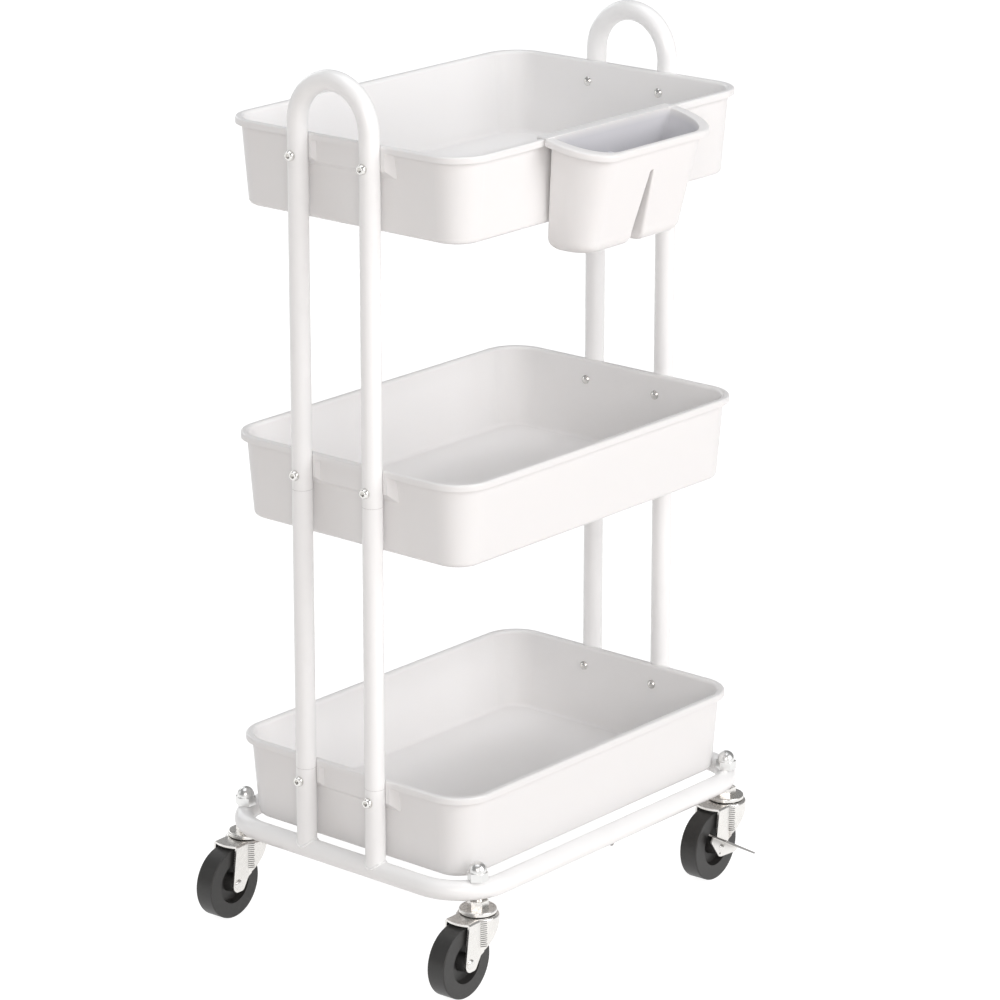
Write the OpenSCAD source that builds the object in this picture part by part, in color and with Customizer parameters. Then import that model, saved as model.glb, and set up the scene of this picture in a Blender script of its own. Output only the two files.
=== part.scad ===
// Three-tier utility cart: two tube end frames on a bent base loop, three deep
// trays screwed between them, a hanging cup and four swivel casters, two braked.

/* [Tube frame] */
// Distance between the tube centres of the two ends
frame_l = 420; // [380:1:480]
// Distance between the two posts of one end
post_pitch = 85; // [78:0.5:95]
// Outside diameter of every tube
tube_d = 19; // [17:0.5:21]
// Wall of the tubes
tube_wall = 1.2; // [1:0.1:1.8]
// How far the base loop's long tubes lie outside the trays' rims, at their centres
loop_over = 7; // [6.5:0.5:12]
// Bend radius of the base loop's corners, measured to the tube centre
loop_r = 50; // [40:1:60]
// Height of the lowest screws above the base loop's centre
stub_h = 68; // [64:1:90]
// Height from one tray's screws to the next tray's
tray_pitch = 295; // [270:1:330]
// Length of straight tube from the top screws to the handle's bend
arch_z = 29; // [20:1:50]
// Height of the posts' lower joints above the lowest screws
seam_low = 12.3; // [9:0.1:15]
// Depth of the posts' upper joints below the middle screws
seam_high = 14.3; // [9:0.1:15]
// Length of the necked ends that plug into the next tube
neck_l = 25; // [22:0.5:30]
// Clearance round a necked end
neck_gap = 0.15; // [0.05:0.05:0.3]

/* [Trays] */
// Width of a tray over its rim
tray_w = 288; // [270:1:300]
// Height of a tray over its rim
tray_h = 80.7; // [70:0.1:90]
// Plan radius of the rim's corners
rim_r = 37; // [34:0.5:42]
// Wall of the trays
tray_wall = 2.4; // [2:0.1:3]
// Floor of the trays
floor_t = 2.6; // [2:0.1:4]
// Lean of the tray walls
draft = 4.5; // [3:0.1:5.5]
// How far the rim stands out from the wall below it
lip_w = 5.2; // [4.6:0.1:6.5]
// Height of the rim's outer face
lip_h = 6; // [5:0.1:8]
// Thickness of the rim's hanging skirt
lip_t = 2.2; // [1.8:0.1:2.6]
// Rounding of the rim's outer edge
lip_round = 1.8; // [1:0.1:2.4]
// Rounding of the rim's inner edge
mouth_round = 3.5; // [2:0.1:4]
// Rounding between a tray's walls and its floor, outside
foot_round = 5; // [3:0.5:7]
// Height of the rim above the screws
rim_z = 19.5; // [17:0.1:22]
// How deep the tubes sit in the rim
seat_deep = 5; // [4.6:0.1:5.6]
// Clearance between a tube and its saddle in the tray
seat_gap = 0.3; // [0.2:0.05:0.5]
// Reach of the end boss beyond a tube's centre
cheek_w = 21; // [18:0.5:24]
// Run of the boss's sloping flanks
cheek_run = 7.5; // [5:0.5:9]
// Gap from a tube's centre to the flat panel between the tubes
panel_in = 15; // [13.5:0.5:17]
// Depth of the boss's sloping flanks
cheek_deep = 7; // [5:0.5:9]
// Depth of the flat panel between the tubes
panel_deep = 3.5; // [2:0.1:3.6]
// Depth of the boss's lower edge below the screws, at the rim's end
boss_z = 2.4; // [1:0.1:4]

/* [Screws] */
// Diameter of the screw shanks
screw_d = 5; // [4:0.1:5.5]
// Diameter of the screw heads
head_d = 10; // [8.5:0.1:11]
// Height of the screw heads
head_h = 3.9; // [3:0.1:4.2]
// Diameter of the screw heads' flat ends
head_flat = 7.2; // [6:0.1:8]
// Width across flats of the screw heads' sockets
key_w = 4.4; // [3:0.1:4.6]
// Depth of the screw heads' sockets
key_deep = 2.2; // [1.5:0.1:2.4]
// Outside diameter of the sleeve nuts inside the trays
sleeve_d = 6.6; // [6.4:0.1:7]
// Diameter of the sleeve nuts' domed heads
dome_d = 9; // [8:0.1:11]
// Height of the sleeve nuts' domed heads
dome_h = 2.2; // [1.6:0.1:3]
// Length of the sleeve nuts behind their heads
sleeve_l = 11; // [9:0.5:13]
// Clearance round screws and sleeve nuts
hole_gap = 0.2; // [0.1:0.05:0.3]

/* [Casters] */
// Place of a caster round the base loop's corner, in degrees from the side
caster_at = 60; // [45:1:70]
// Way the wheels point at rest, in degrees from straight back
rest_turn = 2.7; // [0:0.1:10]
// Diameter of the wheels
wheel_d = 68.2; // [60:0.2:74]
// Width of the wheels at the tread
wheel_w = 19; // [16:0.5:20]
// Rounding of the tread's edges
tread_round = 1.2; // [0.6:0.1:4]
// Radius of the hollow in a wheel's face
hollow_r = 19.5; // [15:0.5:21]
// Thickness of a wheel's web
web_t = 6; // [4:0.5:9]
// Radius of a wheel's hub
hub_r = 7.6; // [6:0.1:9]
// Horizontal distance from the swivel axis to the wheel's axle
trail = 28.7; // [27:0.1:31]
// Height of the fork above the axle
fork_h = 38.4; // [37.5:0.1:42]
// Sheet thickness of the fork
sheet = 2; // [1.6:0.1:2.4]
// Gap between the wheel and the fork's legs
side_gap = 2.5; // [1.5:0.1:3]
// Radius of the fork's round back
back_r = 19.7; // [19:0.1:22]
// Clearance between a wheel's hub and the fork's legs
hub_gap = 0.3; // [0.2:0.05:0.5]
// Radius of the rounded ends of the fork's legs
tip_r = 8; // [6.5:0.1:9]
// Bend radius between the fork's top and its walls
bend_r = 2.5; // [2.1:0.1:4]
// Diameter of the axles
axle_d = 6; // [5:0.1:6.4]
// Outside diameter of the tube that the wheel turns on
bush_d = 8.4; // [8:0.1:9]
// Running clearance of the turning parts
run_gap = 0.06; // [0.03:0.01:0.1]
// Gap between the fork and the bearing disc above it
race_gap = 0.8; // [0.6:0.1:1.2]
// Radius of the bearing disc
race_r = 17.4; // [15:0.1:18.5]
// Thickness of the bearing disc
race_h = 4; // [3.6:0.1:5]
// Radius of the ring of bearing balls
ball_at = 11.5; // [10.5:0.1:13]
// Clearance round the bearing balls in their grooves
ball_gap = 0.15; // [0.1:0.05:0.3]
// Diameter of the bearing balls
ball_d = 3; // [2.6:0.1:3.2]
// Diameter of the pin that the fork swivels on
pin_d = 9; // [8:0.1:10]
// Diameter of the stem through the base loop
stem_d = 9.8; // [9:0.1:10]
// Width across flats of the collar and of the cap nut
hex_w = 17; // [15:0.1:19]
// Height of the collar between the bearing disc and the tube
collar_h = 7.3; // [6:0.1:10]
// Height of the cap nuts
cap_h = 17.5; // [16:0.1:20]
// Step between the cap nuts' flats and their domes
dome_step = 0.3; // [0.2:0.1:1]
// Height of the cap nuts' hexagon
cap_hex_h = 8; // [6:0.1:10]

/* [Brake pedals] */
// Sheet thickness of the pedals
pedal_t = 1.5; // [1.2:0.1:2]
// Width of the pedal's tread
pedal_w = 22; // [16:0.5:26]
// Slope of the pedal's tread
pedal_rise = 29.7; // [25:0.1:35]
// Sideways droop of the pedal's tread
pedal_droop = 4; // [0:0.5:8]

/* [Hanging cup] */
// Length of the cup over its rim
cup_l = 186.4; // [150:0.2:200]
// Place of the cup's middle along the tray, from the tray's middle
cup_at = -2.7; // [-30:0.1:30]
// How far the cup stands out from the tray's rim
cup_out = 59.2; // [50:0.2:70]
// Fall of the cup's rim towards the front, in degrees
cup_tilt = 11.1; // [5:0.1:15]
// Depth of the cup below the tray's rim
cup_h = 105.5; // [90:0.5:120]
// Half-length of the cup's floor
cup_floor = 72; // [60:0.5:76]
// Reach of the cup's floor towards the front, from the tray's rim
cup_floor_out = 30.5; // [26:0.5:36]
// Sideways radius of the cup's front corners
cup_rx = 33; // [25:0.5:40]
// Front-to-back radius of the cup's front corners
cup_ry = 45; // [35:0.5:48]
// Wall of the cup
cup_wall = 1.9; // [1.5:0.1:2.4]
// Width of the cup's rim along its front
cup_lip_w = 4.9; // [4:0.1:6]
// Extra width of the cup's rim at its ends
cup_end = 6; // [0:0.5:8]
// Thickness of the cup's rim and of its hanging lip
cup_lip_t = 1.5; // [1.2:0.1:1.8]
// Height of the cup's rim
cup_lip_h = 6.5; // [5:0.1:8]
// Rounding between the cup's walls and its floor
cup_round = 12; // [6:0.5:14]
// Width of the slot between the two compartments, at the floor
slot_w = 13; // [8:0.5:16]
// Width of the slot at its top
slot_top_w = 3; // [2:0.1:5]
// Depth of the slot's top below the tray's rim, at the front
slot_front = 37.5; // [34:0.5:50]
// Depth of the slot's top below the tray's rim, at the back
slot_back = 24; // [22:0.5:34]
// Thickness of the hook over the tray's rim
hook_t = 1.3; // [1:0.1:2]
// Outside rounding of the hook's bend
hook_round = 2.5; // [1.6:0.1:3]
// Clearance between the hook and the tray's rim
hook_gap = 0.25; // [0.15:0.05:0.4]
// Clearance between the cup's back and the tray's foot
lean_gap = 1.5; // [1:0.1:3]

/* [Hidden] */
$fn = 48;

white = [0.90, 0.90, 0.89];
dark = [0.22, 0.22, 0.23];
steel = [0.78, 0.78, 0.80];

// How far a cutting solid runs past the face that it opens
past = 1;
// Length of cuts that run right out of a piece
far = 60;

tube_r = tube_d / 2;
tube_in = tube_r - tube_wall;
neck_r = tube_in - neck_gap;
neck_in = neck_r - tube_wall;
loop_w = tray_w + 2 * loop_over;
post_x = frame_l / 2;
post_y = post_pitch / 2;

// Heights, from the floor up through the caster to the trays
wheel_r = wheel_d / 2;
axle_z = wheel_r;
fork_top = axle_z + fork_h;
race_z = fork_top + race_gap;
collar_z = race_z + race_h;
loop_z = collar_z + collar_h + tube_r;
cap_z = loop_z + tube_r;
low_z = loop_z + stub_h;
mid_z = low_z + tray_pitch;
top_z = mid_z + tray_pitch;
seam_low_z = low_z + seam_low;
seam_high_z = mid_z - seam_high;
arch_start = top_z + arch_z;

// Where the casters stand on the loop's corners
loop_x = post_x - loop_r;
loop_y = loop_w / 2 - loop_r;
caster_x = loop_x + loop_r * cos(caster_at);
caster_y = loop_y + loop_r * sin(caster_at);

// Tray: the rim's end is set by the tubes that sit in it
rim_x = post_x - tube_r + seat_deep;
rim_y = tray_w / 2;
corner_x = rim_x - rim_r;
corner_y = rim_y - rim_r;
wall_top_r = rim_r - lip_w;
wall_foot_r = wall_top_r - tray_h * tan(draft);
saddle_r = tube_r + seat_gap;
panel_x = rim_x - panel_deep;
wall_in_x = corner_x + wall_top_r - rim_z * tan(draft) - tray_wall;

// Fork plan: legs, and the slanted shoulders between the legs and the back
leg_out = wheel_w / 2 + side_gap + sheet;
leg_start = 11.6;
shoulder_a = 7.8;
shoulder_b = sqrt(back_r * back_r - shoulder_a * shoulder_a);
shoulder_turn = atan2(leg_start - shoulder_a, shoulder_b - leg_out);
shoulder_n = shoulder_a * cos(shoulder_turn) + shoulder_b * sin(shoulder_turn);
shoulder_run = (shoulder_b - leg_out) / cos(shoulder_turn);
// Fork seen from the side, measured from the axle
leg_front = 1.3;
heel_a = 7.1;
heel_z = 7.2;
skirt_a = -17;
brow = 4;
heel_round = tip_r / 2;
toe_round = 7.2;
// Wheel: the hub and the slope of the hollow's walls
hub_w = wheel_w + 2 * (side_gap - hub_gap);
hollow_slope = 1.5;
bush_r = bush_d / 2;
// Bearing: the balls' ring, spaced in ball diameters, and the riveted end of the pin
groove_r = ball_d / 2 + ball_gap;
ball_z = fork_top + race_gap / 2;
ball_spacing = 1.36;
ball_count = floor(180 / asin(ball_spacing * ball_d / (2 * ball_at)));
rivet_h = 2;
rivet_over = 1.6;
rivet_r = pin_d / 2 + rivet_over;
rivet_top = fork_top - sheet - 3 * run_gap;
cap_dome_r = hex_w / 2 - dome_step;
// Small rivet under the front rail
rail_rivet_r = 2;
rail_rivet_face = 1.4;
rail_rivet_head = 1.4;

// Axle lengths, from the wheel's middle
ear_gap = 0.5;
ear_in = leg_out + ear_gap;
ear_out = ear_in + pedal_t;
axle_head_over = 1;
axle_head_r = axle_d / 2 + axle_head_over;
axle_head_h = 1.6;
axle_nut_w = 9;
axle_nut_h = 5;
axle_stub = 1.5;

// Pedal seen from the side, measured from the axle
tread_h = 7.2;
tread_front = 27.6;
tread_back = -28.6;
ear_front = 19.5;
ear_back = -26;
// The ear's edge below the tread, from its tail to its front, and how each corner is rounded
ear_edge = [[-27.5, -9.5], [-22.5, -11.5], [0.7, -9.3], [4.4, -8.1], [17.4, 9.5]];
ear_rounds = [1.5, 1.5, 3, 3, 2];
ear_top_round = 1;
tread_corner = 4;
ear_hole = [2.8, -5.4];
ear_hole_r = 1;

// Cup, measured outward from the tray's rim and down from its top
cup_over = cup_lip_w - cup_wall;
lean = (lip_w + tray_h * tan(draft) - lean_gap + hook_gap) / (tray_h - lip_h - past);
hook_top = hook_gap + hook_t;
cup_x = cup_l / 2;
back_round = 3;
back_steps = 4;
front_steps = 12;
foot_shrink = 0.5;
half_turn_in = 1 - cos(45);
hook_half = cup_x - back_round;
hook_side = 0.8;
hook_leg = 4.5;
thin = 0.01;

// The origin lies on the floor under the middle of the whole object
reach_left = caster_x + trail + wheel_r;
reach_right = post_x + tube_r + head_h;
reach_front = rim_y + cup_out;
reach_back = caster_y + leg_out + axle_nut_h + axle_stub;
cart_x = (reach_left - reach_right) / 2;
cart_y = (reach_front - reach_back) / 2;

function unit(v) = v / norm(v);
function turn(a, b) = a[0] * b[1] - a[1] * b[0];

// Tangent points, centre and sense of the arc that rounds corner i of p
function arc_of(p, r, i) =
    let (n = len(p), v = p[i],
         a = unit(p[(i + n - 1) % n] - v),
         b = unit(p[(i + 1) % n] - v),
         half = acos(a * b) / 2,
         t = r[i] / tan(half))
    [v + a * t, v + b * t, v + unit(a + b) * r[i] / sin(half), turn(b, a)];

// Outline through the points p, anticlockwise, corner i rounded with radius r[i]
module rounded(p, r) {
    last = len(p) - 1;
    c = [for (i = [0:last]) r[i] > 0 ? arc_of(p, r, i) : [p[i], p[i], p[i], 0]];
    difference() {
        union() {
            polygon([for (i = [0:last]) each (r[i] > 0 ? [c[i][0], c[i][1]] : [p[i]])]);
            for (i = [0:last]) if (r[i] > 0 && c[i][3] > 0) translate(c[i][2]) circle(r[i]);
        }
        for (i = [0:last]) if (r[i] > 0 && c[i][3] < 0) translate(c[i][2]) circle(r[i]);
    }
}

// Moves the cart's own middle to the origin
module cart() {
    translate([cart_x, cart_y, 0]) children();
}

// One copy at each of the four posts, turned to face outwards
module at_posts(z) {
    for (s = [-1, 1]) for (t = [-1, 1])
        translate([s * post_x, t * post_y, z]) rotate(s > 0 ? 0 : 180) children();
}

// A caster's own frame: x along the trail, y along the axle, z up from the floor
module at_caster(sx, sy) {
    translate([sx * caster_x, sy * caster_y, 0]) rotate(180 + rest_turn) children();
}

module straight(r, z0, z1) {
    translate([0, 0, z0]) cylinder(h = z1 - z0, r = r);
}

module across_x(r, x0, x1) {
    translate([x0, 0, 0]) rotate([0, 90, 0]) cylinder(h = x1 - x0, r = r);
}

module across_y(r, y0, y1) {
    translate([0, y0, 0]) rotate([-90, 0, 0]) cylinder(h = y1 - y0, r = r);
}

// Screw hole from outside and the larger sleeve hole from inside, x pointing outwards
module post_holes() {
    across_x(screw_d / 2 + hole_gap, -past, far);
    across_x(sleeve_d / 2 + hole_gap, -far, 0);
}

// Base loop's closed centre line, swept with a round section
module loop(r) {
    for (q = [0:3]) rotate(90 * q)
        translate([q % 2 == 0 ? loop_x : loop_y, q % 2 == 0 ? loop_y : loop_x, loop_z])
            rotate_extrude(angle = 90) translate([loop_r, 0]) circle(r);
    for (s = [-1, 1]) {
        translate([0, s * loop_w / 2, loop_z]) across_x(r, -loop_x, loop_x);
        translate([s * post_x, 0, loop_z]) across_y(r, -loop_y, loop_y);
    }
}

module base_frame() {
    color(white) difference() {
        union() {
            loop(tube_r);
            at_posts(0) straight(tube_r, loop_z, seam_low_z);
        }
        loop(tube_in);
        at_posts(0) straight(tube_in, loop_z + tube_r, seam_low_z + past);
        at_posts(low_z) post_holes();
        for (s = [-1, 1]) for (t = [-1, 1])
            translate([s * caster_x, t * caster_y, 0])
                straight(stem_d / 2 + hole_gap, loop_z - 2 * tube_r, loop_z + 2 * tube_r);
        translate([0, -loop_w / 2, 0]) straight(rail_rivet_r, loop_z - 2 * tube_r, loop_z);
    }
}

// Straight post with a necked end below and above
module post() {
    difference() {
        union() {
            straight(tube_r, seam_low_z, seam_high_z);
            straight(neck_r, seam_low_z - neck_l, seam_high_z + neck_l);
        }
        straight(neck_in, seam_low_z - neck_l - past, seam_high_z + neck_l + past);
        translate([0, 0, low_z]) post_holes();
        translate([0, 0, mid_z]) post_holes();
    }
}

module place_post(s, t) {
    color(white) translate([s * post_x, t * post_y, 0]) rotate(s > 0 ? 0 : 180) post();
}

module arch(r, drop) {
    for (t = [-1, 1]) translate([0, t * post_y, 0]) straight(r, seam_high_z - drop, arch_start);
    translate([0, 0, arch_start]) rotate([90, 0, 90])
        rotate_extrude(angle = 180) translate([post_y, 0]) circle(r);
}

module handle(s) {
    color(white) translate([s * post_x, 0, 0]) rotate(s > 0 ? 0 : 180) difference() {
        arch(tube_r, 0);
        arch(tube_in, past);
        for (t = [-1, 1]) for (z = [mid_z, top_z]) translate([0, t * post_y, z]) post_holes();
    }
}

// A profile drawn outward from the corners' centres, swept round the tray and filled
module round_tray(z0, z1) {
    for (q = [0:3]) rotate(90 * q)
        translate([q % 2 == 0 ? corner_x : corner_y, q % 2 == 0 ? corner_y : corner_x, 0])
            rotate_extrude(angle = 90) children();
    for (k = [0, 1]) {
        side = k == 0 ? corner_x : corner_y;
        rotate(90 * k) rotate([90, 0, 0])
            linear_extrude(2 * (k == 0 ? corner_y : corner_x), center = true) {
                translate([side, 0]) children();
                mirror([1, 0]) translate([side, 0]) children();
                translate([-side, z0]) square([2 * side, z1 - z0]);
            }
    }
}

// Tray's outside: foot, leaning wall, and the rim with its hanging skirt
module tray_outside() {
    rounded([[0, -tray_h], [wall_foot_r, -tray_h],
             [wall_top_r - lip_t * tan(draft), -lip_t],
             [rim_r - lip_t, -lip_t],
             [rim_r - lip_t, -lip_h], [rim_r, -lip_h], [rim_r, 0], [0, 0]],
            [0, foot_round, 0, 0, 0, 0, lip_round, 0]);
}

// Tray's inside, with a rounded mouth and a rounded floor
module tray_inside() {
    foot = wall_foot_r - tray_wall + floor_t * tan(draft);
    mouth = wall_top_r - tray_wall;
    rounded([[0, floor_t - tray_h], [foot, floor_t - tray_h], [mouth, 0],
             [mouth + 2 * mouth_round, 0], [mouth + 2 * mouth_round, past], [0, past]],
            [0, foot_round - tray_wall / 2, mouth_round, 0, 0, 0]);
}

// Boss that carries the tubes: plan and side view cross each other
module boss() {
    inner = post_y - panel_in;
    outer = post_y + cheek_w;
    root = wall_in_x - tray_wall;
    intersection() {
        translate([0, 0, -tray_h]) linear_extrude(tray_h - lip_h / 2) polygon([
            [root, -outer], [rim_x - cheek_deep, -outer], [rim_x, cheek_run - outer],
            [rim_x, -inner - panel_deep], [panel_x, -inner],
            [panel_x, inner], [rim_x, inner + panel_deep],
            [rim_x, outer - cheek_run], [rim_x - cheek_deep, outer], [root, outer]]);
        rotate([90, 0, 0]) linear_extrude(2 * outer, center = true) polygon([
            [root, 0], [root, -rim_z - boss_z - rim_x + root],
            [rim_x, -rim_z - boss_z], [rim_x, 0]]);
    }
}

module tray(z) {
    color(white) translate([0, 0, z + rim_z]) difference() {
        union() {
            round_tray(-tray_h, 0) tray_outside();
            boss();
            mirror([1, 0, 0]) boss();
        }
        round_tray(floor_t - tray_h, past) tray_inside();
        at_posts(-far) straight(saddle_r, 0, far + past);
        at_posts(-rim_z) across_x(sleeve_d / 2 + hole_gap, -far / 2, far / 2);
    }
}

// Button head with a flat end and a hexagon socket, lying on the tube, and its shank
module screw() {
    rise = (head_flat * head_flat / 4 + head_h * head_h - head_d * head_d / 4) / (2 * head_h);
    ball = sqrt(head_d * head_d / 4 + rise * rise);
    difference() {
        union() {
            translate([tube_r, 0, 0]) rotate([0, 90, 0]) rotate_extrude() intersection() {
                translate([0, rise]) circle(ball);
                square([head_d, head_h]);
            }
            across_x(screw_d / 2, tube_r - sleeve_l, tube_r);
        }
        translate([tube_r + head_h - key_deep, 0, 0]) rotate([0, 90, 0])
            cylinder(h = far, d = key_w / cos(30), $fn = 6);
    }
}

// Sleeve nut: a dome inside the tray and a barrel through wall and tube
module sleeve_nut() {
    face = wall_in_x - post_x - dome_d / 2 * tan(draft);
    ball = (dome_d * dome_d / 4 + dome_h * dome_h) / (2 * dome_h);
    difference() {
        union() {
            translate([face, 0, 0]) rotate([0, -90, 0]) rotate_extrude() intersection() {
                translate([0, dome_h - ball]) circle(ball);
                square([dome_d, dome_h]);
            }
            across_x(sleeve_d / 2, face, face + sleeve_l);
        }
        across_x(screw_d / 2 + run_gap, face, face + sleeve_l + past);
    }
}

module tray_screws(z) {
    color(steel) at_posts(z) screw();
}

module sleeve_nuts(z) {
    color(steel) at_posts(z) sleeve_nut();
}

// Small rivet under the middle of the front rail, where the loop closes
module rail_rivet() {
    color(dark) translate([0, -loop_w / 2, 0]) {
        straight(rail_rivet_r, loop_z - tube_r, loop_z - tube_in + tube_wall);
        translate([0, 0, loop_z - tube_r - rail_rivet_head])
            cylinder(h = rail_rivet_head + tube_wall / 4, r1 = rail_rivet_face, r2 = rail_rivet_r);
    }
}

// Pin, collar and threaded stem, turned in one piece, with a riveted lower end
module stud() {
    color(steel) {
        straight(rivet_r, rivet_top - rivet_h, rivet_top);
        straight(pin_d / 2, rivet_top - rivet_h / 2, collar_z);
        translate([0, 0, collar_z]) cylinder(h = collar_h, d = hex_w / cos(30), $fn = 6);
        straight(stem_d / 2, collar_z, cap_z + cap_hex_h + stem_d / 4);
    }
}

// Bearing disc, pressed on the pin, with a groove for the balls
module race() {
    edge = race_h / 3;
    color(steel) rotate_extrude() difference() {
        translate([0, race_z]) rounded(
            [[pin_d / 2, 0], [race_r, 0], [race_r, race_h], [pin_d / 2, race_h]],
            [0, edge / 2, edge, 0]);
        translate([ball_at, ball_z]) circle(groove_r);
    }
}

module balls() {
    color(steel) for (i = [0:ball_count - 1]) rotate(360 * i / ball_count)
        translate([ball_at, 0, ball_z]) sphere(d = ball_d, $fn = 24);
}

// Rounded block that follows the fork's plan: round back, shoulders and legs
module fork_block(inset, z0, z1, bend) {
    rotate_extrude() rounded([[0, z0], [back_r - inset, z0], [back_r - inset, z1], [0, z1]],
                             [0, 0, bend, 0]);
    rotate([90, 0, 90]) linear_extrude(far) rounded(
        [[inset - leg_out, z0], [leg_out - inset, z0], [leg_out - inset, z1], [inset - leg_out, z1]],
        [0, 0, bend, bend]);
    for (s = [0, 1]) mirror([0, s, 0]) translate([shoulder_a, shoulder_b, 0])
        rotate([90, 0, shoulder_turn]) translate([-shoulder_n, 0, 0])
            linear_extrude(shoulder_run) rounded(
                [[0, z0], [shoulder_n - inset, z0], [shoulder_n - inset, z1], [0, z1]],
                [0, 0, bend, 0]);
}

// What the fork keeps of its pressed shell: its side view, and a top that bows forward
module fork_limits() {
    bow_r = (leg_out * leg_out + brow * brow) / (2 * brow);
    front = trail + leg_front;
    rotate([90, 0, 0]) linear_extrude(far, center = true) rounded(
        [[leg_start, axle_z + heel_z], [trail - heel_a, axle_z - tip_r],
         [trail + tip_r, axle_z - tip_r], [front, fork_top + past],
         [skirt_a, fork_top + past], [leg_start, axle_z + heel_z + past]],
        [0, heel_round, toe_round, 0, 0, 0]);
    translate([0, 0, fork_top - sheet]) linear_extrude(sheet + past) {
        translate([front + brow - bow_r, 0]) circle(bow_r);
        translate([-far, -far]) square([far + front, 2 * far]);
    }
}

module fork() {
    color(steel) difference() {
        intersection() {
            difference() {
                fork_block(0, 0, fork_top, bend_r);
                fork_block(sheet, -past, fork_top - sheet, bend_r - sheet);
            }
            fork_limits();
        }
        straight(pin_d / 2 + run_gap, fork_top - 2 * sheet, fork_top + past);
        rotate_extrude() translate([ball_at, ball_z]) circle(groove_r);
        translate([trail, 0, axle_z]) across_y(axle_d / 2 + run_gap, -far, far);
    }
}

// Hard wheel: crowned tread, hollow faces, thin web and a long hub
module wheel() {
    tread = wheel_w / 2;
    color(dark) translate([trail, 0, axle_z]) rotate([90, 0, 0]) rotate_extrude() rounded(
        [[bush_r + run_gap, -hub_w / 2], [hub_r, -hub_w / 2], [hub_r + hollow_slope, -web_t / 2],
         [hollow_r - hollow_slope, -web_t / 2], [hollow_r, -tread], [wheel_r, -tread],
         [wheel_r, tread], [hollow_r, tread], [hollow_r - hollow_slope, web_t / 2],
         [hub_r + hollow_slope, web_t / 2], [hub_r, hub_w / 2], [bush_r + run_gap, hub_w / 2]],
        [0, 0, 0, 0, 0, tread_round, tread_round, 0, 0, 0, 0, 0]);
}

module bush() {
    half = leg_out - sheet - run_gap;
    color(steel) translate([trail, 0, axle_z]) difference() {
        across_y(bush_r, -half, half);
        across_y(axle_d / 2 + run_gap, -far, far);
    }
}

// Axle with a low domed head on the near side, which stands off where a pedal turns on it
module axle(braked) {
    seat = braked ? ear_out + run_gap : leg_out;
    ball = (axle_head_r * axle_head_r + axle_head_h * axle_head_h) / (2 * axle_head_h);
    color(steel) translate([trail, 0, axle_z]) {
        across_y(axle_d / 2, -leg_out - axle_nut_h - axle_stub, seat);
        translate([0, seat, 0]) rotate([-90, 0, 0]) rotate_extrude() intersection() {
            translate([0, axle_head_h - ball]) circle(ball);
            square([2 * axle_head_r, axle_head_h]);
        }
    }
}

module axle_nut() {
    color(steel) translate([trail, -leg_out - axle_nut_h, axle_z]) difference() {
        rotate([-90, 0, 0]) cylinder(h = axle_nut_h, d = axle_nut_w / cos(30), $fn = 6);
        across_y(axle_d / 2, -past, axle_nut_h + past);
    }
}

// Point in the side view, given along the pedal's tread and square to it, from the axle
function on_tread(x, h) = [x * cos(pedal_rise) - h * sin(pedal_rise),
                           x * sin(pedal_rise) + h * cos(pedal_rise)];

// Brake pedal: an ear that turns on the axle, folded outward into a sloping tread
module brake() {
    color(steel) translate([trail, 0, axle_z]) difference() {
        union() {
            translate([0, ear_out, 0]) rotate([90, 0, 0]) linear_extrude(pedal_t) rounded(
                concat([on_tread(ear_front, tread_h), on_tread(ear_back, tread_h)], ear_edge),
                concat([0, ear_top_round], ear_rounds));
            rotate([0, -pedal_rise, 0]) translate([0, ear_in, tread_h])
                rotate([-pedal_droop, 0, 0]) translate([0, 0, -pedal_t])
                    linear_extrude(pedal_t) rounded(
                        [[tread_back, 0], [tread_front, 0], [tread_front, pedal_w + pedal_t],
                         [tread_back, pedal_w + pedal_t]],
                        [0, ear_top_round, tread_corner, tread_corner]);
        }
        across_y(axle_d / 2 + run_gap, 0, far);
        translate([ear_hole[0], 0, ear_hole[1]]) across_y(ear_hole_r, 0, far);
    }
}

module cap_nuts() {
    color(steel) for (s = [-1, 1]) for (t = [-1, 1]) translate([s * caster_x, t * caster_y, cap_z])
        difference() {
            union() {
                cylinder(h = cap_hex_h, d = hex_w / cos(30), $fn = 6);
                cylinder(h = cap_h - cap_dome_r, r = cap_dome_r);
                translate([0, 0, cap_h - cap_dome_r]) sphere(cap_dome_r);
            }
            translate([0, 0, -past]) cylinder(h = past + cap_hex_h + stem_d / 2, d = stem_d + run_gap);
        }
}

// D-shaped outline of the cup: back edge at v0, front at v1, elliptical front corners
function d_shape(half, v0, v1, rx, ry) =
    let (small = 90 / back_steps, large = 90 / front_steps,
         cx = half - back_round, cy = v0 + back_round, ex = half - rx, ey = v1 - ry)
    concat(
        [for (i = [0:back_steps]) [cx + back_round * sin(small * i), cy - back_round * cos(small * i)]],
        [for (i = [0:front_steps]) [ex + rx * cos(large * i), ey + ry * sin(large * i)]],
        [for (i = [front_steps:-1:0]) [-ex - rx * cos(large * i), ey + ry * sin(large * i)]],
        [for (i = [back_steps:-1:0]) [-cx - back_round * sin(small * i), cy - back_round * cos(small * i)]]);

// Back of the cup at height z: a plane that just clears the rim's skirt
function back_at(z) = hook_gap + lean * (z + lip_h + past);

// Thin level slice of the cup's body at height z, drawn in by inset
module slice(z, inset) {
    f = -z / cup_h;
    half = (cup_x - cup_over - cup_end) * (1 - f) + cup_floor * f - inset;
    front = (cup_out - cup_over) * (1 - f) + cup_floor_out * f - inset;
    back = back_at(z) + inset;
    shrink = 1 - foot_shrink * f;
    rx = (cup_rx - inset) * shrink;
    ry = min((cup_ry - inset) * shrink, front - back - 2 * back_round);
    translate([0, 0, z]) linear_extrude(thin) polygon(d_shape(half, back, front, rx, ry));
}

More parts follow.
